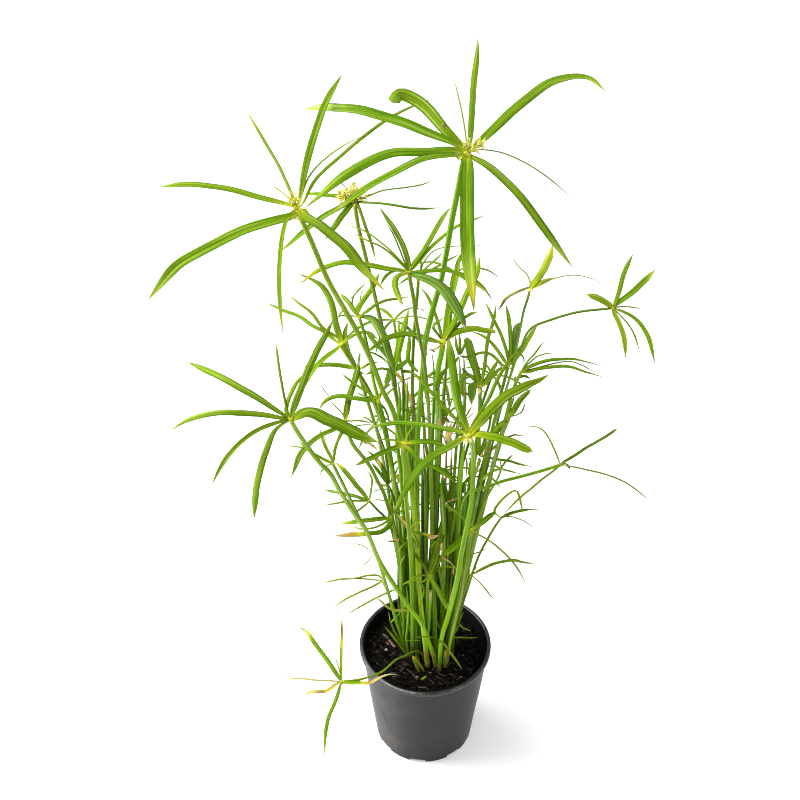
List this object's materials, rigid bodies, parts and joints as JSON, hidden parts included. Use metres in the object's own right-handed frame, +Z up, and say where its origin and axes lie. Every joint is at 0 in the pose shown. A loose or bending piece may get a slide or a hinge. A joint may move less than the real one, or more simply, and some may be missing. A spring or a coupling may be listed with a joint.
{
  "type": "potted umbrella papyrus plant",
  "caption": "Clump of slender upright culms, each topped by a whorl of long grassy bracts, growing in peat in a tapered round nursery pot with a rolled rim.",
  "frame": {"origin": "centre of the flat underside of the pot, on the surface the pot stands on", "axes": "+Z up along the pot's axis, +X to the right of the side the picture was taken from, -Y towards the camera of that picture"},
  "size_m": [0.4987, 0.4408, 0.9309],
  "materials": {
    "pot_plastic": "satin",
    "peat": "matte",
    "culm": "satin",
    "bract": "satin",
    "shoot": "satin",
    "dry_leaf": "matte",
    "bark_chip": "matte"
  },
  "bodies": {
    "root": {"pot": "pot_plastic", "soil": "peat", "culm_01": "culm", "umbel_01": "bract", "culm_02": "culm", "umbel_02": "bract", "culm_03": "culm", "umbel_03": "bract", "culm_04": "culm", "umbel_04": "bract", "culm_06": "culm", "umbel_06": "bract", "culm_07": "culm", "umbel_07": "bract", "culm_08": "culm", "umbel_08": "bract", "culm_09": "culm", "umbel_09": "bract", "culm_10": "culm", "umbel_10": "bract", "culm_11": "culm", "umbel_11": "bract", "culm_13": "culm", "umbel_13": "bract", "culm_14": "culm", "umbel_14": "bract", "culm_15": "culm", "umbel_15": "bract", "culm_22": "culm", "umbel_22": "bract", "culm_25": "culm", "umbel_25": "bract", "culm_28": "culm", "umbel_28": "bract", "culm_34": "culm", "umbel_34": "bract", "shoot_05": "shoot", "shoot_12": "shoot", "shoot_16": "shoot", "shoot_17": "shoot", "shoot_18": "shoot", "shoot_19": "shoot", "shoot_20": "shoot", "shoot_21": "shoot", "shoot_23": "shoot", "shoot_24": "shoot", "shoot_26": "shoot", "shoot_27": "shoot", "shoot_29": "shoot", "shoot_30": "shoot", "shoot_31": "shoot", "shoot_32": "shoot", "shoot_33": "shoot", "shoot_35": "shoot", "shoot_36": "shoot", "shoot_37": "shoot", "shoot_38": "shoot", "shoot_39": "shoot", "shoot_40": "shoot", "shoot_41": "shoot"}
  },
  "joints": []
}
